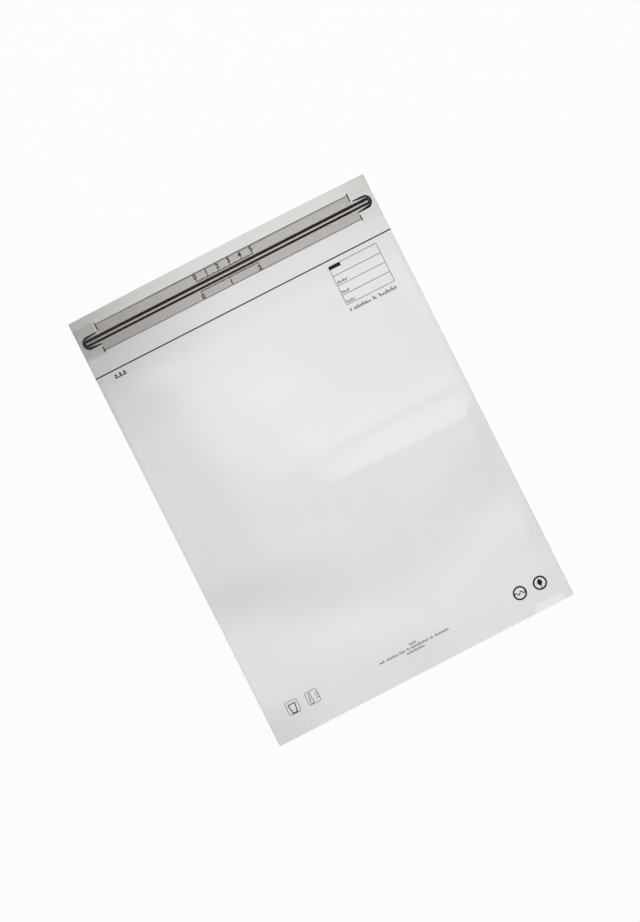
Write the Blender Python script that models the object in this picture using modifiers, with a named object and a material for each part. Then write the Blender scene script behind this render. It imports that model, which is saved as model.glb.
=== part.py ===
"""A zipper bag of hazy film, empty and closed, lying flat on its back film.

X runs across the bag, Y runs from the bottom weld to the mouth, and Z is up, through the layers of film.
The origin is in the middle of the bag, on the surface that it lies on. Lengths are in metres.
"""

import math

import bmesh
import bpy
from mathutils import Matrix, Vector

# Bag and film
BAG_WIDTH = 0.265
BAG_LENGTH = 0.377
FILM_THICKNESS = 0.00015
WELD_WIDTH = 0.001
WELD_FOOT = 0.002  # ground over which the front film rises from the bottom weld
FILM_GAP = 0.0003  # space between the two films where they lie on each other

# Air left in the closed bag, which lifts the front film a little
AIR_HEIGHT = 0.0009
AIR_RAMP = 0.05  # ground over which the film rises to that height
AIR_TO_SIDE = 0.008
AIR_TO_PRINT = 0.006
RIDGE_HEIGHT = 0.0008
RIDGE_WIDTH = 0.014
RIDGE_BELOW_MIDDLE = 0.002
RIDGE_START = -0.03  # X at which the ridge begins, on its way to the right side
RIDGE_FADE = 0.06
AIR_STEPS_ACROSS = 16
AIR_STEPS_ALONG = 28

# Zip tapes
ZIP_FROM_MOUTH = 0.0207  # mouth edge to the middle between the two tracks
TAPE_WIDTH = 0.0226
TAPE_THICKNESS = 0.0003
TAPE_TO_SIDE_ABOVE = 0.0195  # bag's side to the tape's end, on the mouth's side of the tracks
TAPE_TO_SIDE_BELOW = 0.0172  # the same on the bottom's side of the tracks
SEAL_GAP = 0.0001  # clearance between layers that are bonded
TAPE_SHOULDER = 0.0005  # how far the film runs on past the tape's edge before it comes down
TAPE_LANDING = 0.004  # ground over which it comes down

# Zip tracks: hooked channels on the front tape, arrow-headed ribs on the back tape
TRACK_HEIGHT = 0.0013
UPPER_TRACK_WIDTH = 0.0024
LOWER_TRACK_WIDTH = 0.0019
TRACK_SPACING = 0.0015
TRACK_SHELF = 0.0006  # flat of the front tape beside the tracks
HOOK_WALL = 0.00035
LIP_HEIGHT = 0.0003
STEM_WIDTH = 0.0005
HEAD_TAPER = 0.55  # width of an arrow head's top as a share of its base
TRACK_PLAY = 0.00012
TRACK_ROOT = 0.00015  # how deep ribs and hooks reach into their tape

# End seals
SEAL_TO_SIDE = 0.003
SEAL_LENGTH = 0.0145
SEAL_RIM = 0.0034
SEAL_ARM = 0.0024  # width of an arm where it leaves the rim
SEAL_ARM_TIP = 0.0009
SEAL_TO_TRACKS = 0.0003
SEAL_TO_WELD = 0.0003  # how far the film runs on past the seal before it comes down

# Print: a thin coat of ink on the front film
INK_THICKNESS = 0.00005
INK_GAP = 0.00005
HAIRLINE = 0.0004

FILL_LINE_BELOW_TAPE = 0.0171
FILL_LINE_WEIGHT = 0.001
ARROWS_BELOW_LINE = 0.0027
ARROWS_TO_SIDE = 0.0145
ARROWS_WIDTH = 0.0102
ARROW_COUNT = 3
ARROW_LINE = 0.0009
ARROW_HEIGHT = 0.0037
ARROW_HEAD_WIDTH = 0.0027
ARROW_HEAD_HEIGHT = 0.0018

RULER_TO_TRACKS = 0.0009
RULER_LINE = 0.0006
CENTIMETRE = 0.01
INCH = 0.0254
CENTIMETRE_COUNT = 5
INCH_COUNT = 2
LONG_TICK = 0.0018
SHORT_TICK = 0.0012

PANEL_WIDTH = 0.0432
PANEL_HEIGHT = 0.0338
PANEL_BELOW_LINE = 0.0046
PANEL_TO_SIDE = 0.0155
PANEL_ROW_COUNT = 4
PANEL_TAB_WIDTH = 0.0098
PANEL_TAB_HEIGHT = 0.0026
CAPTION_BELOW_PANEL = 0.0046
CAPTION_LENGTH = 0.0416
CAPTION_WEIGHT = 0.0012

MARK_WIDTH = 0.0106
MARK_HEIGHT = 0.011
MARK_CORNER = 0.0018
MARK_PITCH = 0.0178
MARKS_TO_SIDE = 0.0235
MARKS_FROM_BOTTOM = 0.0234
CUP_RIM_WIDTH = 0.0068
CUP_BASE_WIDTH = 0.0044
CUP_HEIGHT = 0.0082
CUP_WALL = 0.0008
BULB_RADIUS = 0.0019
STEM_RADIUS = 0.0011
GLASS_WALL = 0.0005
THERMOMETER_HEIGHT = 0.0092
THERMOMETER_SHIFT = 0.0018  # how far it stands left of the mark's middle
SCALE_TICK_COUNT = 3
SCALE_TICK_LENGTH = 0.0026
SCALE_TICK_PITCH = 0.002

RING_RADIUS = 0.0058
RING_LINE = 0.0014
RING_PITCH = 0.018
RINGS_TO_SIDE = 0.0203
RINGS_FROM_BOTTOM = 0.0209
WAVE_HEIGHT = 0.0011
WAVE_WEIGHT = 0.0011
LEAF_LENGTH = 0.0062
LEAF_WIDTH = 0.0042
LEAF_STEM_LENGTH = 0.0018
LEAF_STEM_WIDTH = 0.0007

FOOTER_FROM_BOTTOM = 0.0221
FOOTER_PITCH = 0.003
FOOTER_WEIGHT = 0.0009
FOOTER_LENGTHS = {"upper": 0.0064, "middle": 0.0624, "lower": 0.016}

ARC_STEPS = 8  # straight pieces in a quarter of a circle
WAVE_STEPS = 24
LEAF_STEPS = 10
WELD_DISTANCE = 1e-7
DRAWING_SCALE = 1000  # outlines are filled at this scale, where a hairline's corners are far enough apart

# Places that follow from the dimensions
SIDE = BAG_WIDTH / 2
END = BAG_LENGTH / 2
ZIP_Y = END - ZIP_FROM_MOUTH
TAPE_HALF = TAPE_WIDTH / 2
TRACKS_HALF = (UPPER_TRACK_WIDTH + TRACK_SPACING + LOWER_TRACK_WIDTH) / 2
SHELF_HALF = TRACKS_HALF + TRACK_SHELF
SEAL_TIP = SIDE - SEAL_TO_SIDE
SEAL_HALF = TRACKS_HALF + SEAL_TO_TRACKS + SEAL_ARM
TRACK_END = SEAL_TIP - SEAL_RIM - SEAL_TO_TRACKS

BACK_TAPE_BOTTOM = FILM_THICKNESS + SEAL_GAP
BACK_TAPE_TOP = BACK_TAPE_BOTTOM + TAPE_THICKNESS
FRONT_TAPE_EDGE = BACK_TAPE_TOP + SEAL_GAP
FRONT_TAPE_SHELF = BACK_TAPE_TOP + TRACK_HEIGHT

FILL_LINE_Y = ZIP_Y - TAPE_HALF - FILL_LINE_BELOW_TAPE
PANEL_TOP = FILL_LINE_Y - PANEL_BELOW_LINE
PANEL_Y = PANEL_TOP - PANEL_HEIGHT / 2
PANEL_X = SIDE - PANEL_TO_SIDE - PANEL_WIDTH / 2
CAPTION_Y = PANEL_TOP - PANEL_HEIGHT - CAPTION_BELOW_PANEL
MARKS_Y = -END + MARKS_FROM_BOTTOM
AIR_LOW = MARKS_Y + MARK_HEIGHT / 2 + AIR_TO_PRINT
AIR_HIGH = CAPTION_Y - AIR_TO_PRINT


# The scene is cleared and given its collections

for old in list(bpy.data.objects):
    bpy.data.objects.remove(old)

parts = bpy.data.collections.new("zipper_bag")
cutters = bpy.data.collections.new("zipper_bag_cutters")
for collection in (parts, cutters):
    bpy.context.scene.collection.children.link(collection)


def plastic(name, colour, roughness, alpha=1.0):
    """A Principled material of one colour."""
    material = bpy.data.materials.new(name)
    material.use_nodes = True
    shader = material.node_tree.nodes["Principled BSDF"]
    shader.inputs["Base Color"].default_value = (*colour, 1)
    shader.inputs["Roughness"].default_value = roughness
    shader.inputs["Metallic"].default_value = 0
    shader.inputs["Alpha"].default_value = alpha
    return material


hazy_film = plastic("hazy film", (0.72, 0.72, 0.72), 0.35, 0.35)
smoke_tape = plastic("smoke tape", (0.25, 0.21, 0.18), 0.3, 0.6)
fused_plastic = plastic("fused plastic", (0.03, 0.025, 0.02), 0.35)
black_ink = plastic("black ink", (0.02, 0.02, 0.02), 0.5)


def piece(name, mesh, material, place=(0, 0, 0)):
    """Puts a mesh among the bag's parts as a named object."""
    obj = bpy.data.objects.new(name, mesh)
    obj.location = place
    mesh.materials.clear()
    mesh.materials.append(material)
    parts.objects.link(obj)
    return obj


def solidify(obj, thickness):
    """Gives an open surface its thickness, upwards."""
    wall = obj.modifiers.new("thickness", "SOLIDIFY")
    wall.thickness = thickness
    wall.offset = 1
    wall.use_even_offset = True


def join(obj, other):
    """Unites an object with one of the cutters."""
    union = obj.modifiers.new("tracks", "BOOLEAN")
    union.operation = "UNION"
    union.solver = "EXACT"
    union.object = other


# Outlines, as lists of (x, y)


def arc(centre, radius, start, end):
    """Points on a circle between two angles in degrees."""
    steps = max(1, round(abs(end - start) / 90 * ARC_STEPS))
    angles = [math.radians(start + (end - start) * i / steps) for i in range(steps + 1)]
    return [(centre[0] + radius * math.cos(a), centre[1] + radius * math.sin(a)) for a in angles]


def circle(radius):
    return arc((0, 0), radius, 0, 360)[:-1]


def rounded_box(width, height, corner, along_bottom=(), along_right=()):
    """A rectangle about (0, 0) with round corners, from the top left one round to the left.

    The other points are met on the way along its bottom and up its right side.
    """
    x, y = width / 2 - corner, height / 2 - corner
    return [
        *arc((-x, y), corner, 90, 180),
        *arc((-x, -y), corner, 180, 270),
        *along_bottom,
        *arc((x, -y), corner, 270, 360),
        *along_right,
        *arc((x, y), corner, 0, 90),
    ]


def bar(length, weight):
    """A straight bar with round ends, about (0, 0)."""
    x, radius = (length - weight) / 2, weight / 2
    return arc((-x, 0), radius, 90, 270) + arc((x, 0), radius, -90, 90)


def comb(length, weight, ticks):
    """A bar from (0, 0) to the right, with ticks (x, height) standing on it."""
    points = [(-weight / 2, 0), (length + weight / 2, 0)]
    for x, height in reversed(ticks):
        left, right = x - weight / 2, x + weight / 2
        points += [(right, weight), (right, height), (left, height), (left, weight)]
    return points


def both_sides(points):
    """The points, and then their mirror image at X = 0 in the other order."""
    return points + [(-x, y) for x, y in reversed(points)]


def flat_shape(outlines):
    """A flat surface at Z = 0 whose first outline is its edge and whose others are holes."""
    curve = bpy.data.curves.new("outline", "CURVE")
    curve.dimensions = "2D"
    curve.fill_mode = "BOTH"
    for outline in outlines:
        spline = curve.splines.new("POLY")
        spline.points.add(len(outline) - 1)
        for point, (x, y) in zip(spline.points, outline):
            point.co = (x * DRAWING_SCALE, y * DRAWING_SCALE, 0, 1)
        spline.use_cyclic_u = True
    guide = bpy.data.objects.new("outline", curve)
    cutters.objects.link(guide)
    graph = bpy.context.evaluated_depsgraph_get()
    mesh = bpy.data.meshes.new_from_object(guide.evaluated_get(graph))
    bpy.data.objects.remove(guide)
    shape = bmesh.new()
    shape.from_mesh(mesh)
    bpy.data.meshes.remove(mesh)
    bmesh.ops.scale(shape, vec=[1 / DRAWING_SCALE] * 3, verts=shape.verts)
    bmesh.ops.remove_doubles(shape, verts=shape.verts, dist=WELD_DISTANCE)
    if len(outlines) == 1:
        bmesh.ops.dissolve_limit(shape, angle_limit=math.pi, verts=[], edges=shape.edges)
    return shape


def thicken(shape):
    """Doubles a flat surface, joins the two by side faces, and gives the points of the second."""
    made = bmesh.ops.extrude_face_region(shape, geom=shape.faces[:], use_keep_orig=True)
    return [item for item in made["geom"] if isinstance(item, bmesh.types.BMVert)]


def mesh_of(shape, name):
    """Ends a bmesh and gives its mesh."""
    mesh = bpy.data.meshes.new(name)
    shape.to_mesh(mesh)
    shape.free()
    return mesh


def fold(shape, across, along):
    """Cuts a flat bmesh along lines at the given X and Y."""
    for places, normal in ((across, Vector((1, 0, 0))), (along, Vector((0, 1, 0)))):
        for place in places:
            bmesh.ops.bisect_plane(
                shape,
                geom=shape.verts[:] + shape.edges[:] + shape.faces[:],
                dist=WELD_DISTANCE,
                plane_co=normal * place,
                plane_no=normal,
            )


def face_up(shape):
    """Turns every face of an open, nearly level surface upwards."""
    bmesh.ops.recalc_face_normals(shape, faces=shape.faces)
    shape.faces.ensure_lookup_table()
    if shape.faces[0].normal.z < 0:
        bmesh.ops.reverse_faces(shape, faces=shape.faces)


# The front film's height


def between(value, steps):
    """Straight-line interpolation through a list of (place, height)."""
    if value <= steps[0][0]:
        return steps[0][1]
    for (low, first), (high, second) in zip(steps, steps[1:]):
        if value <= high:
            return first + (second - first) * (value - low) / (high - low)
    return steps[-1][1]


def smooth(t):
    """From 0 to 1 as t goes from 0 to 1, level at both ends."""
    t = min(max(t, 0), 1)
    return t * t * (3 - 2 * t)


SHOULDER_RISE = FRONT_TAPE_EDGE + TAPE_THICKNESS + SEAL_GAP - FILM_THICKNESS
CROWN_RISE = FRONT_TAPE_SHELF + TAPE_THICKNESS + SEAL_GAP - FILM_THICKNESS

# Rise of the film's underside over the back film, from the bottom weld up to the mouth
RISE_ALONG = [
    (-END, 0),
    (-END + WELD_WIDTH, 0),
    (-END + WELD_WIDTH + WELD_FOOT, FILM_GAP),
    (ZIP_Y - TAPE_HALF - TAPE_SHOULDER - TAPE_LANDING, FILM_GAP),
    (ZIP_Y - TAPE_HALF - TAPE_SHOULDER, SHOULDER_RISE),
    (ZIP_Y - SHELF_HALF, CROWN_RISE),
    (ZIP_Y + SHELF_HALF, CROWN_RISE),
    (ZIP_Y + TAPE_HALF + TAPE_SHOULDER, SHOULDER_RISE),
    (ZIP_Y + TAPE_HALF + TAPE_SHOULDER + TAPE_LANDING, FILM_GAP),
    (END, FILM_GAP),
]

# Share of that rise, from the middle of the bag out to a side
SHARE_ACROSS = [
    (SEAL_TIP + SEAL_TO_WELD, 1),
    (SIDE - WELD_WIDTH, 0),
    (SIDE, 0),
]


def air_rise(x, y):
    """How far the air in the bag lifts the front film."""
    to_side = SIDE - AIR_TO_SIDE - abs(x)
    to_end = min(y - AIR_LOW, AIR_HIGH - y)
    share = smooth(to_side / AIR_RAMP) * smooth(to_end / AIR_RAMP)
    ridge_y = (AIR_LOW + AIR_HIGH) / 2 - RIDGE_BELOW_MIDDLE
    ridge = math.exp(-(((y - ridge_y) / RIDGE_WIDTH) ** 2)) * smooth((x - RIDGE_START) / RIDGE_FADE)
    return share * (AIR_HEIGHT + RIDGE_HEIGHT * ridge)


def film_underside(x, y):
    rise = between(y, RISE_ALONG) * between(abs(x), SHARE_ACROSS)
    return FILM_THICKNESS + rise + air_rise(x, y)


def film_folds():
    """The X and the Y of the lines at which the front film's surface bends."""
    reach = SIDE - AIR_TO_SIDE
    across = [sign * x for x, _ in SHARE_ACROSS[:-1] for sign in (-1, 1)]
    across += [reach * (2 * i / AIR_STEPS_ACROSS - 1) for i in range(AIR_STEPS_ACROSS + 1)]
    along = [y for y, _ in RISE_ALONG[1:-1]]
    step = (AIR_HIGH - AIR_LOW) / AIR_STEPS_ALONG
    along += [AIR_LOW + step * i for i in range(AIR_STEPS_ALONG + 1)]
    return across, along


# Film


def make_back_film():
    """A flat web over the whole bag."""
    shape = bmesh.new()
    bmesh.ops.create_cube(shape, size=1)
    bmesh.ops.scale(shape, vec=(BAG_WIDTH, BAG_LENGTH, FILM_THICKNESS), verts=shape.verts)
    piece("back_film", mesh_of(shape, "back_film"), hazy_film, (0, 0, FILM_THICKNESS / 2))


def make_front_film():
    """A web that is welded to the back film at its sides and bottom and passes over the zip."""
    shape = bmesh.new()
    bmesh.ops.create_grid(shape, x_segments=1, y_segments=1, size=1)
    bmesh.ops.scale(shape, vec=(SIDE, END, 1), verts=shape.verts)
    fold(shape, *film_folds())
    for vert in shape.verts:
        vert.co.z = film_underside(vert.co.x, vert.co.y)
    face_up(shape)
    film = piece("front_film", mesh_of(shape, "front_film"), hazy_film)
    solidify(film, FILM_THICKNESS)


# Zip


def tape_outline():
    """A tape with its long narrow tongues, about the middle between the tracks."""
    above, below = SIDE - TAPE_TO_SIDE_ABOVE, SIDE - TAPE_TO_SIDE_BELOW
    right = [(below, -TAPE_HALF), (below, -SEAL_HALF)]
    right += arc((SEAL_TIP - SEAL_HALF, 0), SEAL_HALF, -90, 90)
    right += [(above, SEAL_HALF), (above, TAPE_HALF)]
    return both_sides(right)


def front_tape_underside(y):
    """The front tape lies level over the tracks and comes down to the back tape at its edges."""
    return between(abs(y), [(SHELF_HALF, FRONT_TAPE_SHELF), (TAPE_HALF, FRONT_TAPE_EDGE)])


def track_places():
    """The middle and the width of each track."""
    upper = TRACKS_HALF - UPPER_TRACK_WIDTH / 2
    lower = -TRACKS_HALF + LOWER_TRACK_WIDTH / 2
    return [(upper, UPPER_TRACK_WIDTH), (lower, LOWER_TRACK_WIDTH)]


def hook_sections():
    """Two hooks for each track, which hang from the front tape and close round its rib."""
    sections = []
    mouth, foot = STEM_WIDTH / 2 + TRACK_PLAY, BACK_TAPE_TOP + TRACK_PLAY
    lip, root = foot + LIP_HEIGHT, FRONT_TAPE_SHELF + TRACK_ROOT
    for middle, width in track_places():
        outer, inner = width / 2, width / 2 - HOOK_WALL
        hook = [(mouth, foot), (outer, foot), (outer, root), (inner, root), (inner, lip), (mouth, lip)]
        sections += [[(middle + side * y, z) for y, z in hook] for side in (-1, 1)]
    return sections


def rib_sections():
    """A rib for each track, which stands on the back tape and ends in an arrow head."""
    sections = []
    barb = BACK_TAPE_TOP + TRACK_PLAY + LIP_HEIGHT + TRACK_PLAY
    root, top = BACK_TAPE_TOP - TRACK_ROOT, FRONT_TAPE_SHELF - TRACK_PLAY
    for middle, width in track_places():
        stem, head = STEM_WIDTH / 2, width / 2 - HOOK_WALL - TRACK_PLAY
        rib = both_sides([(stem, root), (stem, barb), (head, barb), (head * HEAD_TAPER, top)])
        sections.append([(middle + y, z) for y, z in rib])
    return sections


def make_tracks(name, sections):
    """The tracks of one tape, as a helper that the tape is joined with."""
    tracks = bmesh.new()
    for section in sections:
        shape = flat_shape([section])
        far_side = thicken(shape)
        bmesh.ops.translate(shape, vec=(0, 0, -TRACK_END), verts=shape.verts)
        bmesh.ops.translate(shape, vec=(0, 0, 2 * TRACK_END), verts=far_side)
        mesh = mesh_of(shape, name)
        tracks.from_mesh(mesh)
        bpy.data.meshes.remove(mesh)
    # A section is drawn in Y and Z, so the thickness is turned to lie along X
    turn = Matrix(((0, 0, 1, 0), (1, 0, 0, 0), (0, 1, 0, 0), (0, 0, 0, 1)))
    bmesh.ops.transform(tracks, matrix=turn, verts=tracks.verts)
    bmesh.ops.recalc_face_normals(tracks, faces=tracks.faces)
    helper = bpy.data.objects.new(name, mesh_of(tracks, name))
    helper.location = (0, ZIP_Y, 0)
    helper.hide_render = True
    helper.display_type = "WIRE"
    cutters.objects.link(helper)
    return helper


def make_zip_strip(name, underside, sections):
    """A tape with its tracks, about the middle between the tracks."""
    shape = flat_shape([tape_outline()])
    fold(shape, [], [-SHELF_HALF, SHELF_HALF])
    for vert in shape.verts:
        vert.co.z = underside(vert.co.y)
    face_up(shape)
    strip = piece(name, mesh_of(shape, name), smoke_tape, (0, ZIP_Y, 0))
    solidify(strip, TAPE_THICKNESS)
    join(strip, make_tracks(name + "_tracks", sections))


def seal_outline():
    """A round-ended pad with a slot for the ends of the tracks, open to the left."""
    arm_end, slot_end = SEAL_TIP - SEAL_LENGTH, SEAL_TIP - SEAL_RIM
    lower = [(slot_end, -TRACKS_HALF - SEAL_TO_TRACKS), (arm_end, -SEAL_HALF + SEAL_ARM_TIP)]
    lower += [(arm_end, -SEAL_HALF)]
    upper = [(x, -y) for x, y in reversed(lower)]
    return lower + arc((SEAL_TIP - SEAL_HALF, 0), SEAL_HALF, -90, 90) + upper


def make_end_seal(name, turn):
    """The crushed pad between the tapes at one end of the tracks."""
    shape = flat_shape([seal_outline()])
    fold(shape, [], [-SHELF_HALF, SHELF_HALF])
    raised = thicken(shape)
    for vert in shape.verts:
        vert.co.z = BACK_TAPE_TOP + SEAL_GAP
    for vert in raised:
        vert.co.z = front_tape_underside(vert.co.y) - SEAL_GAP
    bmesh.ops.recalc_face_normals(shape, faces=shape.faces)
    seal = piece(name, mesh_of(shape, name), fused_plastic, (0, ZIP_Y, 0))
    seal.rotation_euler.z = turn


# Print


def lay_ink(name, shape, place):
    """Lays a flat shape about (0, 0) on the front film, about the given place."""
    across, along = film_folds()
    fold(shape, [x - place[0] for x in across], [y - place[1] for y in along])
    for vert in shape.verts:
        under = film_underside(vert.co.x + place[0], vert.co.y + place[1])
        vert.co.z = under + FILM_THICKNESS + INK_GAP
    face_up(shape)
    ink = piece(name, mesh_of(shape, name), black_ink, (*place, 0))
    solidify(ink, INK_THICKNESS)


def make_fill_line():
    half = FILL_LINE_WEIGHT / 2
    corners = [(-SIDE, -half), (SIDE, -half), (SIDE, half), (-SIDE, half)]
    lay_ink("fill_line", flat_shape([corners]), (0, FILL_LINE_Y))


def make_fill_arrows():
    """Small arrows that stand on one thin line and point up at the fill line."""
    pitch = (ARROWS_WIDTH - ARROW_HEAD_WIDTH) / (ARROW_COUNT - 1)
    points = [(0, 0), (ARROWS_WIDTH, 0), (ARROWS_WIDTH, ARROW_LINE)]
    for i in reversed(range(ARROW_COUNT)):
        middle, neck = ARROW_HEAD_WIDTH / 2 + i * pitch, ARROW_HEIGHT - ARROW_HEAD_HEIGHT
        right = [(ARROW_LINE / 2, ARROW_LINE), (ARROW_LINE / 2, neck), (ARROW_HEAD_WIDTH / 2, neck)]
        left = [(-x, y) for x, y in reversed(right)]
        points += [(middle + x, y) for x, y in right + [(0, ARROW_HEIGHT)] + left]
    points.append((0, ARROW_LINE))
    lowest = FILL_LINE_Y - FILL_LINE_WEIGHT / 2 - ARROWS_BELOW_LINE - ARROW_HEIGHT
    lay_ink("fill_arrows", flat_shape([points]), (-SIDE + ARROWS_TO_SIDE, lowest))


def make_rulers():
    """A centimetre scale above the tracks and an inch scale below them."""
    base = TRACKS_HALF + RULER_TO_TRACKS
    scales = (
        ("ruler_centimetres", CENTIMETRE_COUNT, CENTIMETRE, 2, 1),
        ("ruler_inches", INCH_COUNT, INCH, 4, -1),
    )
    for name, units, unit, parts_of_unit, way in scales:
        length = units * unit
        count = units * parts_of_unit + 1
        heights = [SHORT_TICK if i % parts_of_unit else LONG_TICK for i in range(count)]
        ticks = [(i * unit / parts_of_unit, height) for i, height in enumerate(heights)]
        outline = [(x - length / 2, way * y) for x, y in comb(length, RULER_LINE, ticks)]
        lay_ink(name, flat_shape([outline]), (0, ZIP_Y + way * base))


def make_writing_panel():
    """A framed block of empty rows for the user's own notes, with a filled tab at its top left."""
    inner_width, inner_height = PANEL_WIDTH - 2 * HAIRLINE, PANEL_HEIGHT - 2 * HAIRLINE
    row_height = (inner_height - (PANEL_ROW_COUNT - 1) * HAIRLINE) / PANEL_ROW_COUNT
    right, top = inner_width / 2, inner_height / 2
    rows = [top - i * (row_height + HAIRLINE) for i in range(PANEL_ROW_COUNT)]
    tab_right, tab_low = -right + PANEL_TAB_WIDTH, top - PANEL_TAB_HEIGHT

    def is_empty(spot):
        in_tab = spot.x < tab_right and spot.y > tab_low
        in_row = any(high - row_height < spot.y < high for high in rows)
        return abs(spot.x) < right and in_row and not in_tab

    # The frame's round corners stay small enough to leave a wall outside the rows' square ones
    shape = flat_shape([rounded_box(PANEL_WIDTH, PANEL_HEIGHT, 2 * HAIRLINE)])
    row_edges = rows + [high - row_height for high in rows]
    fold(shape, [-right, tab_right, right], row_edges + [tab_low])
    empty = [face for face in shape.faces if is_empty(face.calc_center_median())]
    bmesh.ops.delete(shape, geom=empty, context="FACES")
    lay_ink("writing_panel", shape, (PANEL_X, PANEL_Y))
    caption = flat_shape([bar(CAPTION_LENGTH, CAPTION_WEIGHT)])
    lay_ink("panel_caption", caption, (PANEL_X, CAPTION_Y))


def make_cup_mark():
    """A tumbler that stands on the bottom line of a square frame."""
    floor = -MARK_HEIGHT / 2 + HAIRLINE
    base, rim = CUP_BASE_WIDTH / 2, CUP_RIM_WIDTH / 2
    cup = [(-base, floor), (-rim, floor + CUP_HEIGHT), (rim, floor + CUP_HEIGHT), (base, floor)]
    inside_base, inside_rim = base - CUP_WALL, rim - CUP_WALL
    low, high = floor + CUP_WALL, floor + CUP_HEIGHT - CUP_WALL
    inside = [(-inside_base, low), (inside_base, low), (inside_rim, high), (-inside_rim, high)]
    shape = flat_shape([*mark_frame(along_bottom=cup), inside])
    lay_ink("cup_mark", shape, (-SIDE + MARKS_TO_SIDE, MARKS_Y))


def mark_frame(along_bottom=(), along_right=()):
    """A square frame, whose hole leaves out what stands on its bottom or right line."""
    width, height = MARK_WIDTH - 2 * HAIRLINE, MARK_HEIGHT - 2 * HAIRLINE
    hole = rounded_box(width, height, MARK_CORNER - HAIRLINE, along_bottom, along_right)
    return [rounded_box(MARK_WIDTH, MARK_HEIGHT, MARK_CORNER), hole]


def make_thermometer_mark():
    """A thermometer on a short foot beside a scale, in a square frame."""
    floor, wall = -MARK_HEIGHT / 2 + HAIRLINE, MARK_WIDTH / 2 - HAIRLINE
    middle, foot = -THERMOMETER_SHIFT, HAIRLINE
    bulb = floor + HAIRLINE + BULB_RADIUS
    opening = math.degrees(math.asin(STEM_RADIUS / BULB_RADIUS))
    top = floor + THERMOMETER_HEIGHT - STEM_RADIUS
    foot_angle = math.degrees(math.asin(foot / 2 / BULB_RADIUS))
    left = [(middle - foot / 2, floor)]
    left += arc((middle, bulb), BULB_RADIUS, 270 - foot_angle, 90 + opening)
    right = arc((middle, bulb), BULB_RADIUS, 90 - opening, -90 + foot_angle)
    right += [(middle + foot / 2, floor)]
    glass = left + arc((middle, top), STEM_RADIUS, 180, 0) + right
    inner_bulb, inner_stem = BULB_RADIUS - GLASS_WALL, STEM_RADIUS - GLASS_WALL
    opening = math.degrees(math.asin(inner_stem / inner_bulb))
    inside = arc((middle, bulb), inner_bulb, 270, 90 + opening)
    inside += arc((middle, top), inner_stem, 180, 0)
    inside += arc((middle, bulb), inner_bulb, 90 - opening, -90)[:-1]
    scale = []
    for i in range(SCALE_TICK_COUNT):
        low = (i - (SCALE_TICK_COUNT - 1) / 2) * SCALE_TICK_PITCH - HAIRLINE / 2
        inner = wall - SCALE_TICK_LENGTH
        scale += [(wall, low), (inner, low), (inner, low + HAIRLINE), (wall, low + HAIRLINE)]
    shape = flat_shape([*mark_frame(along_bottom=glass, along_right=scale), inside])
    lay_ink("thermometer_mark", shape, (-SIDE + MARKS_TO_SIDE + MARK_PITCH, MARKS_Y))


def make_wave_mark():
    """A wave of water across a ring."""
    inner = RING_RADIUS - RING_LINE
    half = WAVE_WEIGHT / 2
    reach = math.sqrt(inner**2 - half**2)
    edge = math.degrees(math.asin(half / inner))
    steps = [2 * i / WAVE_STEPS - 1 for i in range(1, WAVE_STEPS)]
    crest = [(reach * t, WAVE_HEIGHT * math.sin(2 * math.pi * t)) for t in steps]
    above = arc((0, 0), inner, edge, 180 - edge) + [(x, y + half) for x, y in crest]
    below = arc((0, 0), inner, 180 + edge, 360 - edge) + [(x, y - half) for x, y in crest[::-1]]
    place = (SIDE - RINGS_TO_SIDE - RING_PITCH, -END + RINGS_FROM_BOTTOM)
    lay_ink("wave_mark", flat_shape([circle(RING_RADIUS), above, below]), place)


def make_leaf_mark():
    """A leaf on a stem that grows from the bottom of a ring."""
    inner = RING_RADIUS - RING_LINE
    half = LEAF_STEM_WIDTH / 2
    foot = math.degrees(math.asin(half / inner))
    base = -inner + LEAF_STEM_LENGTH
    steps = [i / LEAF_STEPS for i in range(1, LEAF_STEPS)]
    edge = [(LEAF_WIDTH / 2 * math.sin(math.pi * t), base + LEAF_LENGTH * t) for t in steps]
    right = [(half, base), *[point for point in edge if point[0] > half]]
    left = [(-x, y) for x, y in right]
    hole = arc((0, 0), inner, -90 + foot, 270 - foot)
    hole += left + [(0, base + LEAF_LENGTH)] + right[::-1]
    place = (SIDE - RINGS_TO_SIDE, -END + RINGS_FROM_BOTTOM)
    lay_ink("leaf_mark", flat_shape([circle(RING_RADIUS), hole]), place)


def make_footer():
    """Three centred bars where small print would be."""
    middle = (len(FOOTER_LENGTHS) - 1) / 2
    for i, (row, length) in enumerate(FOOTER_LENGTHS.items()):
        y = -END + FOOTER_FROM_BOTTOM + (middle - i) * FOOTER_PITCH
        lay_ink("footer_" + row, flat_shape([bar(length, FOOTER_WEIGHT)]), (0, y))


make_back_film()
make_front_film()
make_zip_strip("back_zip_strip", lambda y: BACK_TAPE_BOTTOM, rib_sections())
make_zip_strip("front_zip_strip", front_tape_underside, hook_sections())
make_end_seal("right_end_seal", 0)
make_end_seal("left_end_seal", math.pi)
make_fill_line()
make_fill_arrows()
make_rulers()
make_writing_panel()
make_cup_mark()
make_thermometer_mark()
make_wave_mark()
make_leaf_mark()
make_footer()
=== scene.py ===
# %% [markdown]
# # A zipper bag of clear grey film
#
# The bag lies flat and empty on a white table and is looked at from straight above. It is two sheets of
# film welded together at three sides, a smoke-brown zip between them, and a thin black print on the
# front sheet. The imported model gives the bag's size and the place of its pieces. Here each piece gets
# its fine shape and its finish, and the scene gets its table, its lamps and its camera.

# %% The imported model
import math

import bmesh
import bpy
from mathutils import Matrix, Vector, noise


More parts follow.
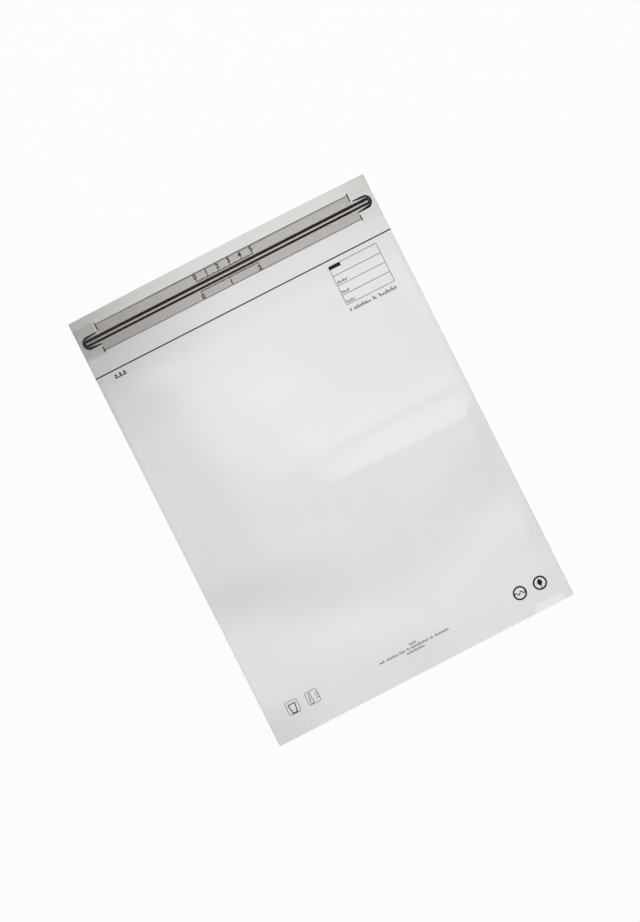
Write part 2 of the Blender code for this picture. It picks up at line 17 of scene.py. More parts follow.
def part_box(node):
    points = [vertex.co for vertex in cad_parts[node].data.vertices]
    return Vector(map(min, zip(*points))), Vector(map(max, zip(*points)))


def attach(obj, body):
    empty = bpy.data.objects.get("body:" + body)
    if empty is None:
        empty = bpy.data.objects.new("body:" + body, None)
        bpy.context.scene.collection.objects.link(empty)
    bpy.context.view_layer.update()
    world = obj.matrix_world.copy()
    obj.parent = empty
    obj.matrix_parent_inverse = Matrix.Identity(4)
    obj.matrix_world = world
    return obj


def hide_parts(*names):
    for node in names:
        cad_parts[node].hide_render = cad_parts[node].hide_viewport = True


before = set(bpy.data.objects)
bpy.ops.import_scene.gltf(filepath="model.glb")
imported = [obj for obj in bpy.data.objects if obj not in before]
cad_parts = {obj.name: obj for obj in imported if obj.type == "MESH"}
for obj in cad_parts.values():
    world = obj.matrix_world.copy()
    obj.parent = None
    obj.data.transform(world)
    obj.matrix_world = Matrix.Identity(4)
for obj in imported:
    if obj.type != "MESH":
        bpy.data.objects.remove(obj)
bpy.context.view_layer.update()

bag_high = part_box("front_film")[1]
tape_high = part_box("back_zip_strip")[1]
seal_low, seal_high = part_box("right_end_seal")
SIDE, END = bag_high.x, bag_high.y
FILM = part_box("back_film")[1].z
ZIP_Y = (seal_low.y + seal_high.y) / 2
TAPE_HALF = tape_high.y - ZIP_Y
SEAL_HALF = seal_high.y - ZIP_Y
SEAL_TIP = seal_high.x
print(f"bag {2000 * SIDE:.0f} by {2000 * END:.0f} mm, film {1000 * FILM:.2f} mm")
print(f"the zip's middle is at Y {1000 * ZIP_Y:.1f} mm")

# %% [markdown]
# ## Shader maths as Python
#
# A material in Blender is a graph of nodes. Written node by node it is long and hard to read, so two
# small helpers stand between. `Number` wraps a socket: adding or multiplying two of them adds a Math
# node. `Finish` fills the graph of a material, or of the world, and its one method `node` adds any other
# node, with its settings first and its sockets after that.

# %% Shader helpers
class Number:
    """A value that changes over a surface. Arithmetic with it adds Math nodes."""

    def __init__(self, finish, socket):
        self.finish, self.socket = finish, socket

    def _math(self, operation, *values):
        return self.finish.node("ShaderNodeMath", {"operation": operation}, dict(enumerate(values)))

    def __add__(self, other):
        return self._math("ADD", self, other)

    def __sub__(self, other):
        return self._math("SUBTRACT", self, other)

    def __rsub__(self, other):
        return self._math("SUBTRACT", other, self)

    def __mul__(self, other):
        return self._math("MULTIPLY", self, other)

    def __abs__(self):
        return self._math("ABSOLUTE", self)

    def highest(self, other):
        return self._math("MAXIMUM", self, other)

    def over(self, low, high):
        """From 0 at low to 1 at high, softly in between. Low may be the larger of the two."""
        if low > high:
            return 1 - self.over(high, low)
        sockets = {"Value": self, "From Min": low, "From Max": high}
        return self.finish.node("ShaderNodeMapRange", {"interpolation_type": "SMOOTHSTEP"}, sockets)

    __radd__ = __add__
    __rmul__ = __mul__


class Finish:
    """The nodes of a material or of the world."""

    def __init__(self, owner):
        owner.use_nodes = True
        self.owner, self.tree = owner, owner.node_tree
        self.tree.nodes.clear()

    def node(self, kind, settings=None, sockets=None, output=0):
        """Adds one node, sets it up, fills its sockets and gives one of its outputs."""
        made = self.tree.nodes.new(kind)
        for name, value in (settings or {}).items():
            setattr(made, name, value)
        for name, value in (sockets or {}).items():
            if isinstance(value, Number):
                self.tree.links.new(value.socket, made.inputs[name])
            else:
                made.inputs[name].default_value = value
        return Number(self, made.outputs[output]) if made.outputs else None

    def place(self, scale):
        """Object coordinates in metres, stretched."""
        spot = self.node("ShaderNodeTexCoord", output="Object")
        return self.node("ShaderNodeMapping", None, {"Vector": spot, "Scale": scale})

    def axes(self):
        """The object's own X and Y, as numbers."""
        spot = self.node("ShaderNodeTexCoord", output="Object")
        made = self.node("ShaderNodeSeparateXYZ", None, {"Vector": spot})
        outputs = made.socket.node.outputs
        return Number(self, outputs["X"]), Number(self, outputs["Y"])

    def clouds(self, scale, detail=2.0, stretch=(1, 1, 1)):
        """Soft noise about one half. A small number in stretch draws it out along that axis."""
        sockets = {"Vector": self.place(stretch), "Scale": scale, "Detail": detail}
        return self.node("ShaderNodeTexNoise", None, sockets, "Fac")

    def blend(self, share, first, second):
        """A colour between two colours, each of them fixed or itself a blend."""
        first, second = (c if isinstance(c, Number) else (*c, 1) for c in (first, second))
        # a Mix node has sockets for each kind of data: 0 is its factor, 6 and 7 are its colours, and
        # output 2 is the mixed colour
        return self.node("ShaderNodeMix", {"data_type": "RGBA"}, {0: share, 6: first, 7: second}, 2)

    def relief(self, height, distance, strength):
        """A Bump node's normal, for detail too fine to be modelled."""
        sockets = {"Height": height, "Distance": distance, "Strength": strength}
        return self.node("ShaderNodeBump", None, sockets)

    def plastic(self, **sockets):
        """Ends the material with a Principled shader, whose sockets are named with _ for a space."""
        named = {name.replace("_", " "): value for name, value in sockets.items()}
        shader = self.node("ShaderNodeBsdfPrincipled", None, named)
        self.node("ShaderNodeOutputMaterial", None, {"Surface": shader})
        return self.owner


def new_finish(name):
    """Starts a material."""
    return Finish(bpy.data.materials.new(name))


print("shader helpers ready")

# %% [markdown]
# ## Table and background
#
# The photograph's background is plain white. The table is one big pale sheet. Straight rays from the
# camera, and rays that a shiny or clear surface passes on, mostly see it as a steady white, so that the
# background stays white without more light on the bag. The rest of what they see is the lit sheet
# itself, and there the soft shadow shows.

# %% Table
TABLE_SIZE = 6.0
TABLE_DROP = 0.0002  # the bag's underside is at 0, so the table lies a hair lower
STEADY_WHITE = 0.86


def table_finish():
    finish = new_finish("white table")
    seen = finish.node("ShaderNodeLightPath", output="Is Camera Ray")
    for kind in ("Is Glossy Ray", "Is Transmission Ray"):
        seen = seen.highest(finish.node("ShaderNodeLightPath", output=kind))
    grain = finish.clouds(40.0)
    paper = finish.blend(grain, (0.80, 0.80, 0.80), (0.83, 0.83, 0.83))
    sheet = finish.node("ShaderNodeBsdfDiffuse", None, {"Color": paper})
    white = finish.node("ShaderNodeEmission", None, {"Color": (1, 1, 1, 1), "Strength": 1.0})
    mixed = finish.node("ShaderNodeMixShader", None, {"Fac": seen * STEADY_WHITE, 1: sheet, 2: white})
    finish.node("ShaderNodeOutputMaterial", None, {"Surface": mixed})
    return finish.owner


def add_object(name, shape, material):
    """Turns a bmesh into an object at the origin, with smooth shading and one material."""
    mesh = bpy.data.meshes.new(name)
    shape.to_mesh(mesh)
    shape.free()
    mesh.materials.append(material)
    for face in mesh.polygons:
        face.use_smooth = True
    made = bpy.data.objects.new(name, mesh)
    bpy.context.scene.collection.objects.link(made)
    return made


shape = bmesh.new()
bmesh.ops.create_grid(shape, x_segments=1, y_segments=1, size=TABLE_SIZE / 2)
bmesh.ops.translate(shape, vec=(0, 0, -TABLE_DROP), verts=shape.verts)
table = add_object("table", shape, table_finish())
print(f"table {TABLE_SIZE:.0f} m wide")

# %% [markdown]
# ## Lamps and world
#
# The light is soft and comes from one very large round panel, high up on the mouth's side of the bag. A
# level sheet of film mirrors the very edge of that panel. So level film shows about half of its glow,
# film that falls towards the mouth shows more of it, and film that rises towards the mouth shows none.
# That makes the pale streak on the right and the darker band across the lower third, and painted shade
# in the film's density deepens that band. A second, weaker panel opens the shadows from the other side.

# %% Lamps and world
KEY_PLACE = Vector((0.95, 3.03, 8.0))
KEY_WIDTH = 6.4
KEY_POWER = 560.0
FILL_PLACE = Vector((-3.6, -6.0, 7.0))
FILL_WIDTH = 4.0
FILL_POWER = 40.0
WORLD_LEVEL = 0.35


def add_panel(name, place, width, power):
    """A round lamp that looks at the middle of the bag."""
    lamp = bpy.data.lights.new(name, "AREA")
    lamp.shape = "DISK"
    lamp.size = width
    lamp.energy = power
    panel = bpy.data.objects.new(name, lamp)
    panel.location = place
    panel.rotation_euler = (-place).to_track_quat("-Z", "Y").to_euler()
    bpy.context.scene.collection.objects.link(panel)


def make_world():
    """An even grey all round, which the camera itself sees as white."""
    studio = Finish(bpy.data.worlds.new("studio"))
    seen = studio.node("ShaderNodeLightPath", output="Is Camera Ray")
    level = WORLD_LEVEL + seen * (1.0 - WORLD_LEVEL)
    light = studio.node("ShaderNodeBackground", None, {"Color": (1, 1, 1, 1), "Strength": level})
    studio.node("ShaderNodeOutputWorld", None, {"Surface": light})
    bpy.context.scene.world = studio.owner


add_panel("key_panel", KEY_PLACE, KEY_WIDTH, KEY_POWER)
add_panel("fill_panel", FILL_PLACE, FILL_WIDTH, FILL_POWER)
make_world()
bpy.context.scene.view_settings.view_transform = "Standard"
print("lamps and world ready")

# %% [markdown]
# ## Camera
#
# The photograph looks straight down from far away, with next to no perspective, and the bag lies turned
# in its frame. A long lens high above the table gives that. Where the picture is taller than it is
# wide, Blender's sensor width is the picture's height, so the height of the camera follows from the
# lens and from how many millimetres of table one picture pixel covers.

# %% Camera
PICTURE_HEIGHT = 922
MM_PER_PIXEL = 0.8
LENS = 300.0
SENSOR = 36.0
TURN = math.radians(-26.65)
AIM = (-0.0013, -0.0003)  # the point under the camera

camera = bpy.data.objects.new("camera", bpy.data.cameras.new("camera"))
camera.data.lens, camera.data.sensor_width = LENS, SENSOR
height = MM_PER_PIXEL / 1000 * PICTURE_HEIGHT * LENS / SENSOR
camera.location = (*AIM, height)
camera.rotation_euler = (0, 0, TURN)
bpy.context.scene.collection.objects.link(camera)
bpy.context.scene.camera = camera
print(f"camera {height:.2f} m above the table")

# %% [markdown]
# ## Finishes
#
# The film is clear with a grey tint, so most of what it shows is the white table, dimmed a little by
# each face that the light passes. Alpha lets that light through, and it thins the gloss as well, so the
# gloss comes from a clear coat with a high index of refraction, which reflects about as much as a real
# film does. From a little below the zip up to the mouth the film is duller, clearer and darker in tint,
# and there the coat fades out. Haze, and the lines that the film's die drew along its length, change the
# film a little everywhere. It is denser at the welds, under the jaws at the zip's ends and towards the
# mouth. Painted shade is put into its density too: it is made denser across a band in the lower third,
# at the left side, at the mouth's corners and over other soft areas, and clearer elsewhere as painted
# light, with a small painted highlight near the lower right corner. Soft masks on X and Y put each of
# these in its place, and a table lists the plain ones. The zip tape is the same kind of plastic in a
# warm brown, with denser, darker edges, which are painted shade.

# %% Film finish
FILM_TINT = ((0.05, 0.05, 0.053), (0.08, 0.08, 0.082))
DULL_TINT = (0.020, 0.018, 0.016)
MOUTH_TINT = (0.14, 0.13, 0.07)
FILM_DENSITY = 0.074  # at each of a sheet's two faces
WELD_WIDTH = 0.001
WELD_DENSER = 0.015
JAW_INNER = 0.1145  # X where the mark of the hot jaw at each end of the zip begins
JAW_LOW, JAW_HIGH = ZIP_Y - 0.0150, ZIP_Y + 0.0120
# at the left end the jaw mark gets extra density, which is painted shade at the upper left
JAW_DENSER, LEFT_JAW_PAINTED_SHADE = 0.012, 0.036
DULL_LOW, DULL_TOP = ZIP_Y - 0.055, ZIP_Y - 0.027  # between these the film turns dull on its way to the zip
DULL_CLEARER = 0.034
MOUTH_LOW = ZIP_Y + 0.006
# the mouth's two corners get extra density, which is painted shade
MOUTH_DENSER, MOUTH_CORNERS_PAINTED_SHADE = 0.018, 0.024
HIGHLIGHT_LEFT, HIGHLIGHT_RIGHT, HIGHLIGHT_TOP = 0.1005, 0.1250, -0.1805  # the sides and top of a small painted highlight, where the film is made clearer
PAINTED_HIGHLIGHT_CLEARER = 0.024
SLANT = 0.30  # how steeply the band of painted shade across the lower left falls towards the right
BAND_PAINTED_SHADE = 0.014
EDGE_WANDER = 0.003  # how far noise moves the outlines of the jaw marks and of the painted highlight
LEFT = (0.0, -SIDE)
PAINTED_SHADE_AREAS = (
    # painted shade, or painted light where the amount is negative: X from none to full, Y from none to
    # full, how much denser there
    (LEFT, None, -0.003),
    (LEFT, (-0.100, -0.062), 0.020),
    (LEFT, (0.0, 0.12), 0.010),
    (LEFT, (0.060, END), 0.060),
    ((-0.085, -SIDE), (0.02, 0.11), 0.014),
    ((-0.070, -SIDE), (-0.150, -0.178), 0.028),
    ((0.06, SIDE), None, 0.009),
    ((0.0, 0.06), (-0.125, -0.150), -0.009),
    (None, (-0.140, -END), 0.004),
    (None, (0.060, 0.130), 0.009),
    (None, (0.060, END), 0.018),
)


def shaded(density, x, y):
    """Adds the table of soft areas of painted shade and painted light to a density."""
    for across, along, denser in PAINTED_SHADE_AREAS:
        area = denser
        if across:
            area = x.over(*across) * area
        if along:
            area = y.over(*along) * area
        density = density + area
    return density


def film_finish():
    finish = new_finish("hazy film")
    x, y = finish.axes()
    haze = finish.clouds(9.0, 3.0)
    lines = finish.clouds(55.0, 2.0, (1.0, 0.04, 1.0))
    mottle = finish.clouds(900.0)
    wander = (finish.clouds(120.0, 2.0) - 0.5) * EDGE_WANDER
    x_near, y_near = x + wander, y + wander
    weld = abs(x).over(SIDE - 1.5 * WELD_WIDTH, SIDE - WELD_WIDTH)
    jaw = (abs(x) + wander).over(JAW_INNER, JAW_INNER + 0.001)
    jaw = jaw * y_near.over(JAW_LOW, JAW_LOW + 0.002) * y_near.over(JAW_HIGH + 0.001, JAW_HIGH)
    # from a little below the zip up to the mouth the film is duller, clearer and darker in tint, and its
    # coat fades out
    dull_zone = y.over(DULL_LOW, DULL_TOP)
    mouth = y.over(MOUTH_LOW, ZIP_Y + TAPE_HALF)
    # painted shade at the mouth's two corners
    corners = abs(x).over(0.095, SIDE) * mouth
    slanted = y + x * SLANT
    # a band of painted shade across the lower left
    band = x.over(0.010, -0.060) * slanted.over(-0.140, -0.106) * slanted.over(-0.072, -0.102)
    # a painted highlight near the lower right corner, where the film is made clearer
    patch = x_near.over(HIGHLIGHT_LEFT - 0.0035, HIGHLIGHT_LEFT + 0.0035)
    patch = patch * x_near.over(HIGHLIGHT_RIGHT + 0.003, HIGHLIGHT_RIGHT - 0.003)
    patch = patch * y_near.over(HIGHLIGHT_TOP + 0.001, HIGHLIGHT_TOP - 0.001)
    streaks = (haze - 0.5) * 0.01 + (lines - 0.5) * 0.006
    density = shaded(streaks + FILM_DENSITY, x, y)
    density = density + weld * WELD_DENSER + jaw * (JAW_DENSER + x.over(*LEFT) * LEFT_JAW_PAINTED_SHADE)
    density = density + band * BAND_PAINTED_SHADE + mouth * MOUTH_DENSER + corners * MOUTH_CORNERS_PAINTED_SHADE
    density = density - dull_zone * DULL_CLEARER - patch * PAINTED_HIGHLIGHT_CLEARER
    tint = finish.blend(dull_zone, finish.blend(haze, *FILM_TINT), DULL_TINT)
    return finish.plastic(
        Base_Color=finish.blend(mouth, tint, MOUTH_TINT),
        Roughness=0.25 + (haze - 0.5) * 0.06 + dull_zone * 0.15,
        Alpha=density,
        Normal=finish.relief(lines * 0.6 + mottle * 0.4, 0.00005, 0.35),
        Specular_IOR_Level=0.2,
        Coat_Weight=1.0 - dull_zone * 0.95,
        Coat_IOR=2.0,
        Coat_Roughness=0.15,
    )


film = film_finish()
print("film finish:", len(film.node_tree.nodes), "nodes")

# %% Finishes of the zip and the print
TAPE_TINT = ((0.43, 0.34, 0.24), (0.49, 0.39, 0.28))
TAPE_DENSITY = 0.145  # at each of its two faces
EDGE_SHADE_TINT = (0.12, 0.11, 0.10)
EDGE_SHADE_DENSER = 0.23
EDGE_LINE = 0.0006  # the width of the dark line of painted shade along each edge of the tape
TRACK_TINT = ((0.007, 0.004, 0.002), (0.014, 0.008, 0.004))
FUSED_TINT = ((0.002, 0.0015, 0.001), (0.006, 0.004, 0.003))
INK_TINT = ((0.006, 0.006, 0.006), (0.014, 0.014, 0.015))
ZIP_SKEW = 0.0010  # the zip is higher by this at its right end, and lower by it at its left end


def tape_finish():
    finish = new_finish("smoke tape")
    x, y = finish.axes()
    streaks = finish.clouds(60.0, 3.0, (0.05, 1.0, 1.0))
    mottle = finish.clouds(700.0)
    level = y - x * (ZIP_SKEW / SIDE)
    # a dark line of painted shade along each edge of the tape
    edge = abs(level - ZIP_Y).over(TAPE_HALF - 1.6 * EDGE_LINE, TAPE_HALF - 0.6 * EDGE_LINE)
    return finish.plastic(
        Base_Color=finish.blend(edge, finish.blend(streaks, *TAPE_TINT), EDGE_SHADE_TINT),
        Roughness=0.45 + (mottle - 0.5) * 0.12,
        Alpha=TAPE_DENSITY + (streaks - 0.5) * 0.03 + edge * EDGE_SHADE_DENSER,
        Normal=finish.relief(streaks, 0.00008, 0.25),
        Specular_IOR_Level=0.2,
    )


def track_finish():
    finish = new_finish("track plastic")
    streaks = finish.clouds(140.0, 3.0, (0.04, 1.0, 1.0))
    return finish.plastic(
        Base_Color=finish.blend(streaks, *TRACK_TINT),
        Roughness=0.50 + (streaks - 0.5) * 0.12,
        Normal=finish.relief(streaks, 0.00005, 0.3),
        Specular_IOR_Level=0.15,
    )


def fused_finish():
    finish = new_finish("fused plastic")
    flow = finish.clouds(500.0, 3.0)
    return finish.plastic(
        Base_Color=finish.blend(flow, *FUSED_TINT),
        Roughness=0.45 + (flow - 0.5) * 0.2,
        Normal=finish.relief(flow, 0.00012, 0.6),
        Specular_IOR_Level=0.25,
    )


def ink_finish():
    finish = new_finish("black ink")
    cover = finish.clouds(1500.0, 2.0)
    return finish.plastic(
        Base_Color=finish.blend(cover, *INK_TINT),
        Roughness=0.50 + (cover - 0.5) * 0.12,
        Normal=finish.relief(cover, 0.00001, 0.3),
        Specular_IOR_Level=0.15,
    )


tape, tracks, fused, ink = tape_finish(), track_finish(), fused_finish(), ink_finish()
print("zip and print finishes ready")

# %% [markdown]
# ## The front film's shape
#
# The front film lies nearly level, so its shape is a height for each point of the bag. It climbs over
# the zip tapes and highest over the tracks, drops back to the back film at the welds, and a little air
# holds it up in between. The air is what the photograph shows: a crease runs in from the right side,
# with the film falling away from it towards the mouth, and a long hollow crosses the lower third.
# One function gives that height, so the film and the print that lies on it always agree.

# %% Height of the film
CROWN = bag_high.z - FILM  # the film's underside over the tracks
SHOULDER = 0.00105  # over the edges of the tape
SEAL_SHOULDER = 0.00165  # over the edges of the end seals
BODY = 0.00045  # over the empty bag
SHELF_HALF = 0.0035  # half the width of the raised part over the tracks
# distance from the zip's middle and height there
OVER_TAPE = [(SHELF_HALF, CROWN), (TAPE_HALF + 0.0005, SHOULDER), (TAPE_HALF + 0.0045, BODY)]
OVER_SEAL = [(SHELF_HALF, CROWN), (SEAL_HALF + 0.0006, SEAL_SHOULDER), (SEAL_HALF + 0.0040, BODY)]
CORNER_REACH = 0.0008  # over this distance the corners of those two sections are rounded
TAPE_END = 0.1150  # X where the wide part of the tape has ended
WELD_FOOT = 0.002  # over this distance the film climbs from the bottom weld
LIP_Y, LIP_LIFT, LIP_WAVE = ZIP_Y + 0.013, 0.0005, 0.0003  # the mouth stands a little open


def ramp(value, start, end):
    """From 0 at start to 1 at end, level at both. End may be the smaller of the two."""
    t = min(max((value - start) / (end - start), 0), 1)
    return t * t * (3 - 2 * t)


def between(value, steps):
    """Straight lines through a list of (place, height)."""
    if value <= steps[0][0]:
        return steps[0][1]
    for (low, first), (high, second) in zip(steps, steps[1:]):
        if value <= high:
            return first + (second - first) * (value - low) / (high - low)
    return steps[-1][1]


def softened(distance, steps):
    """The same lines with their corners rounded, as an average over a short reach."""
    return sum(between(abs(distance + i * CORNER_REACH / 2), steps) for i in (-2, -1, 0, 1, 2)) / 5


def zip_height(x, y):
    """The height over the tapes, and beyond their ends over the end seals."""
    over_tape = softened(y - ZIP_Y, OVER_TAPE)
    over_seal = softened(y - ZIP_Y, OVER_SEAL)
    past_tape = ramp(abs(x), TAPE_END, TAPE_END + 0.004)
    return over_tape + (over_seal - over_tape) * past_tape


# %% Air in the bag
AIR_LIFT = 0.0004  # everywhere inside the welds and below the zip
HOLLOW_Y = -0.117  # the hollow's lowest line, at its middle
HOLLOW_LEFT, HOLLOW_RIGHT = 0.018, 0.031  # how far that line climbs to the left and to the right side
HOLLOW_RISE, HOLLOW_RISE_WIDTH = 0.0024, 0.045  # from the hollow up to the body of the bag
FOOT_RISE, FOOT_START, FOOT_TOP = 0.0010, 0.002, -0.048  # from the hollow up towards the bottom weld
# the crease and a fainter one above it: where each is, how wide its fall is and how deep
CREASE_Y, CREASE_FALL_WIDTH, CREASE_FALL = -0.0190, 0.021, 0.0019
SECOND_Y, SECOND_FALL_WIDTH, SECOND_FALL = 0.006, 0.028, 0.0005
LEFT_FALL, LEFT_FALL_END = 0.0021, 0.130  # where there is no crease the film falls slowly to the zip
# height, waves per metre along X and along Y, and the layer of the noise
WAVES = ((0.0004, 11, 9, 0.3), (0.00015, 31, 27, 1.7))


def drop(value, start, width):
    """Like ramp, but with a sharp start: it leaves at once and levels off after the width."""
    t = min(max((value - start) / width, 0), 1)
    return t * (2 - t)


def air_height(x, y):
    """How far the air lifts the front film over where it would lie."""
    inside = ramp(x, -SIDE + 0.002, -SIDE + 0.066) * ramp(x, SIDE - 0.001, SIDE - 0.015)
    inside *= ramp(y, -END + 0.003, -END + 0.024) * ramp(y, ZIP_Y - 0.016, ZIP_Y - 0.060)
    hollow = HOLLOW_Y + HOLLOW_LEFT * ramp(x, 0.02, -SIDE) + HOLLOW_RIGHT * ramp(x, 0.02, SIDE)
    height = AIR_LIFT + HOLLOW_RISE * ramp(y, hollow, hollow + HOLLOW_RISE_WIDTH)
    height += FOOT_RISE * ramp(y, hollow + FOOT_START, hollow + FOOT_TOP)
    right = ramp(x, -0.020, 0.060)
    height -= CREASE_FALL * right * drop(y, CREASE_Y, CREASE_FALL_WIDTH)
    height -= SECOND_FALL * ramp(x, -0.050, 0.010) * drop(y, SECOND_Y, SECOND_FALL_WIDTH)
    height -= LEFT_FALL * (1 - right) * ramp(y, CREASE_Y, LEFT_FALL_END)
    for high, across, along, seed in WAVES:
        height += high * noise.noise(Vector((x * across, y * along, seed)))
    return inside * height


def film_underside(x, y):
    """The front film's height over the surface that the bag lies on."""
    side = ramp(abs(x), SIDE - WELD_WIDTH - 0.0001, SEAL_TIP + 0.0003)
    foot = ramp(y, -END + WELD_WIDTH, -END + WELD_WIDTH + WELD_FOOT)
    lip = ramp(y, LIP_Y, END) * (LIP_LIFT + LIP_WAVE * noise.noise(Vector((x * 24, 0, 5.1))))
    return FILM + side * foot * (zip_height(x, y) - FILM + lip) + air_height(x, y)


def film_top(x, y):
    return film_underside(x, y) + FILM


for place, spot_y in (("over the tracks", ZIP_Y), ("in the middle", 0)):
    print(f"the film's top {place}: {1000 * film_top(0, spot_y):.2f} mm")

# %% [markdown]
# ## Outline of the bag
#
# The bag isn't quite square: its bottom edge, its zip and its mouth run a little askew, and the mouth is
# bowed by less than a millimetre. Every piece is moved by the same small shift.

# %% Shift in the plane
BOTTOM_SKEW = 0.0017
BOTTOM_SKEW_START, ZIP_SKEW_START, ZIP_SKEW_END = 0.05, 0.02, 0.145  # on Y
MOUTH_BOW = 0.0009


def shifted(x, y):
    """A point's place after the bag's small distortion."""
    skew = BOTTOM_SKEW * ramp(y, BOTTOM_SKEW_START, -END)
    skew += ZIP_SKEW * ramp(y, ZIP_SKEW_START, ZIP_SKEW_END)
    bow = MOUTH_BOW * (1 - (x / SIDE) ** 2) * ramp(y, ZIP_Y, END)
    return x, y + x / SIDE * skew + bow


def shift_points(shape):
    """Gives every point of a shape that is in its place the same small shift."""
    for vert in shape.verts:
        vert.co.x, vert.co.y = shifted(vert.co.x, vert.co.y)


print("skew at the bottom corners and at the zip:", 1000 * BOTTOM_SKEW, "and", 1000 * ZIP_SKEW, "mm")

# %% [markdown]
# ## The two sheets of film
#
# Each sheet starts as one rectangle, and bisect_plane cuts it into a grid. Close to the zip and the
# welds, where the film bends within a few millimetres, the cuts are closer together. Then every point
# is lifted to the film's height, and a Solidify modifier gives the sheet its real thickness.

# %% Film sheets
GRID_STEP = 0.0025
FINE_STEP = 0.0008
TINY = 1e-7  # points closer than this are one point


def cut_lines():
    """X and Y of the lines along which everything on the film is cut."""
    columns, rows = round(2 * SIDE / GRID_STEP), round(2 * END / GRID_STEP)
    across = [SIDE * (2 * i / columns - 1) for i in range(1, columns)]
    along = [END * (2 * i / rows - 1) for i in range(1, rows)]
    fine = round((SIDE - TAPE_END) / FINE_STEP)
    across += [side * (SIDE - FINE_STEP * (i + 0.5)) for i in range(fine) for side in (-1, 1)]
    reach = TAPE_HALF + 0.005  # to where the film has come down from the tapes
    along += [ZIP_Y - reach + FINE_STEP * i for i in range(round(2 * reach / FINE_STEP))]
    along += [-END + FINE_STEP * (i + 0.5) for i in range(4)]
    return sorted(across), sorted(along)


def cut(shape, across, along):
    """Cuts a flat shape along those of the lines that cross it."""
    for axis, lines, normal in ((0, across, Vector((1, 0, 0))), (1, along, Vector((0, 1, 0)))):
        low, high = min(v.co[axis] for v in shape.verts), max(v.co[axis] for v in shape.verts)
        for line in lines:
            if low + TINY < line < high - TINY:
                everything = shape.verts[:] + shape.edges[:] + shape.faces[:]
                plane = {"plane_co": normal * line, "plane_no": normal}
                bmesh.ops.bisect_plane(shape, geom=everything, dist=TINY, **plane)


def thicken(piece, thickness, even=True):
    """Gives a sheet its wall, upwards from its face."""
    wall = piece.modifiers.new("thickness", "SOLIDIFY")
    wall.thickness, wall.offset, wall.use_even_offset = thickness, 1, even


def make_sheet(name, height):
    shape = bmesh.new()
    bmesh.ops.create_grid(shape, x_segments=1, y_segments=1, size=1)
    bmesh.ops.scale(shape, vec=(SIDE, END, 1), verts=shape.verts)
    cut(shape, *cut_lines())
    for vert in shape.verts:
        x, y = vert.co.x, vert.co.y
        vert.co = (*shifted(x, y), height(x, y))
    sheet = add_object(name, shape, film)
    thicken(sheet, FILM)
    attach(sheet, "root")
    return sheet


back_sheet = make_sheet("back_sheet", lambda x, y: 0.0)
front_sheet = make_sheet("front_sheet", film_underside)
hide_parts("back_film")
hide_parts("front_film")
print("faces of the front sheet:", len(front_sheet.data.polygons))

# %% [markdown]
# ## Zip tapes
#
# Each half of the zip is a flat tape with a profile down its middle, drawn out of one nozzle in two
# colours: a see-through tape and dark tracks. The tapes are grids cut along the lines where they bend.
# The back tape lies level between the two films and reaches from seal to seal with a long tongue. The
# front tape comes in three strips, because the dark channels come up to its face between them.

# %% Tapes
# the heights are those of the undersides
TAPE_THICKNESS = 0.0003
BACK_TAPE_Z = 0.00025
FRONT_TAPE_EDGE_Z = 0.00065
FRONT_TAPE_SHELF_Z = 0.00185
UPPER_TRACK = (0.0005, 0.0029)  # from one edge to the other, from the zip's middle
LOWER_TRACK = (-0.0029, -0.0010)
TRACK_END = SEAL_TIP - 0.0030  # a little way into the crushed pad
TAPE_END_ABOVE, TAPE_END_BELOW = 0.1130, 0.1153  # X where the wide part is cut off
TAPE_CUTS_X = [i * 0.005 for i in range(-25, 26)]
TAPE_CUTS_Y = [i * 0.0007 for i in range(-16, 17)]
TAPE_WAVE = 0.00004


def front_tape_height(x, y):
    """Y is counted from the zip's middle here."""
    level = softened(y, [(SHELF_HALF, FRONT_TAPE_SHELF_Z), (TAPE_HALF, FRONT_TAPE_EDGE_Z)])
    return level + TAPE_WAVE * noise.noise(Vector((x * 60, y * 40, 2.2)))


def make_tape(name, strips, height):
    """Level strips (half length, lowest Y, highest Y) about the zip's middle, as one thin tape."""
    shape = bmesh.new()
    for half_length, low, high in strips:
        made = bmesh.ops.create_grid(shape, x_segments=1, y_segments=1, size=1)["verts"]
        bmesh.ops.scale(shape, vec=(half_length, (high - low) / 2, 1), verts=made)
        bmesh.ops.translate(shape, vec=(0, (low + high) / 2, 0), verts=made)
    cut(shape, TAPE_CUTS_X, TAPE_CUTS_Y)
    bmesh.ops.remove_doubles(shape, verts=shape.verts, dist=TINY)
    for vert in shape.verts:
        vert.co.z = height(vert.co.x, vert.co.y)
        vert.co.y += ZIP_Y
    shift_points(shape)
    piece = add_object(name, shape, tape)
    thicken(piece, TAPE_THICKNESS)
    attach(piece, "root")
    return piece


back_strips = [
    (TAPE_END_ABOVE, SEAL_HALF, TAPE_HALF),
    (TRACK_END, -SEAL_HALF, SEAL_HALF),
    (TAPE_END_BELOW, -TAPE_HALF, -SEAL_HALF),
]
front_strips = [
    (TAPE_END_ABOVE, UPPER_TRACK[1], TAPE_HALF),
    (TRACK_END, LOWER_TRACK[1], UPPER_TRACK[0]),
    (TAPE_END_BELOW, -TAPE_HALF, LOWER_TRACK[0]),
]
back_tape = make_tape("back_tape", back_strips, lambda x, y: BACK_TAPE_Z)
front_tape = make_tape("front_tape", front_strips, front_tape_height)
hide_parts("back_zip_strip")
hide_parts("front_zip_strip")
print("tape strips:", len(back_strips), "and", len(front_strips))

# %% [markdown]
# ## Zip tracks
#
# The zip closes when an arrow-headed rib is pressed into a channel with two hooks. Each of the two has
# the same section all along, so it is drawn once as a small flat face, drawn out along the zip with
# extrude_face_region, and its long edges are rounded with a bevel, which gives the fine lines of light.

